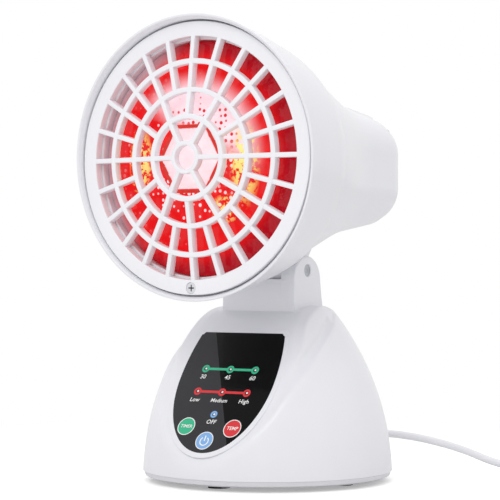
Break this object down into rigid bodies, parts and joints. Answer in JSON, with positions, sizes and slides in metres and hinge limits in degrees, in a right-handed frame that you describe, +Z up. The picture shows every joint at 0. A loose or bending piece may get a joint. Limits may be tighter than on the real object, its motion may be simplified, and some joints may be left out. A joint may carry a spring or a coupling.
{
  "type": "infrared heat lamp",
  "caption": "Table heat lamp: a round guarded reflector head tilts in a forked neck on a domed, weighted base with a sloping touch panel and a cord with its plug.",
  "frame": {"origin": "middle of the lamp's bounding box at the table, the cord, its coil and the plug left out", "axes": "+Z up, the lamp faces -Y, +X is to the right as the lamp is seen from the front"},
  "size_m": [0.2724, 0.2086, 0.2511],
  "materials": {
    "white_plastic": "satin moulded plastic",
    "grey_plastic": "fine matt moulded plastic",
    "foot_rubber": "soft matt rubber",
    "panel_black": "gloss black acrylic",
    "key_green": "printed green under gloss",
    "key_red": "printed red under gloss",
    "key_blue": "printed light blue under gloss",
    "led_lens": "clear lit lens",
    "board_green": "solder-masked board",
    "steel_screw": "zinc-plated steel",
    "ribbon_grey": "flat cable skin",
    "relay_blue": "moulded case",
    "aluminium": "mill finish",
    "black_plastic": "moulded black",
    "capacitor_yellow": "moulded yellow case",
    "fuse_glass": "clear glass tube",
    "ballast_iron": "as cast",
    "cord_white": "smooth off-white sheath",
    "brass": "bright brass",
    "ceramic": "glazed ceramic",
    "cap_metal": "bright pressed cap",
    "washer_fibre": "friction fibre",
    "ruby_glass": "pressed ruby glass",
    "filament_wire": "drawn wire"
  },
  "bodies": {
    "base": {"base_shell": "white_plastic", "bottom_plate": "grey_plastic", "rubber_feet": "foot_rubber", "base_screws": "steel_screw", "control_panel": "panel_black", "timer_key": "key_green", "temp_key": "key_red", "power_key": "key_blue", "timer_leds": "led_lens", "heat_leds": "led_lens", "off_led": "led_lens", "touch_board": "board_green", "touch_pads": "foot_rubber", "touch_screws": "steel_screw", "panel_ribbon": "ribbon_grey", "driver_board": "board_green", "board_screws": "steel_screw", "relay": "relay_blue", "heatsink": "aluminium", "triac": "black_plastic", "filter_capacitor": "capacitor_yellow", "fuse": "fuse_glass", "terminal_block": "board_green", "buzzer": "black_plastic", "ballast_weight": "ballast_iron", "neck_grommet": "foot_rubber", "base_lead": "cord_white", "strain_relief": "cord_white", "power_cord": "cord_white", "cord_coil": "cord_white", "cord_tie": "cord_white", "cord_end": "cord_white", "plug_body": "cord_white", "plug_pins": "brass"},
    "head": {"head_shell": "white_plastic", "heat_shield": "aluminium", "rear_cover": "white_plastic", "cover_screws": "steel_screw", "lamp_holder": "ceramic", "holder_liner": "cap_metal", "holder_contact": "brass", "holder_bracket": "steel_screw", "bracket_screws": "steel_screw", "holder_screw": "steel_screw", "thermal_cutoff": "black_plastic", "head_lead": "cord_white", "pivot_screws": "steel_screw", "pivot_inserts": "brass", "friction_washers": "washer_fibre", "bulb_lens": "ruby_glass", "bulb_reflector": "aluminium", "bulb_cap": "cap_metal", "bulb_contact": "brass", "filament": "filament_wire", "filament_posts": "filament_wire"},
    "guard": {"guard": "white_plastic", "guard_screw": "steel_screw", "guard_nut": "steel_screw"}
  },
  "joints": [
    {"name": "head_tilt", "type": "hinge", "parent": "base", "child": "head", "pos_m": [0, -0.0035, 0.116], "axis": [1, 0, 0], "range_deg": [-40, 20]},
    {"name": "guard_twist", "type": "hinge", "parent": "head", "child": "guard", "pos_m": [0, -0.008, 0.1752], "axis": [0, -1, 0], "range_deg": [0, 14]}
  ]
}
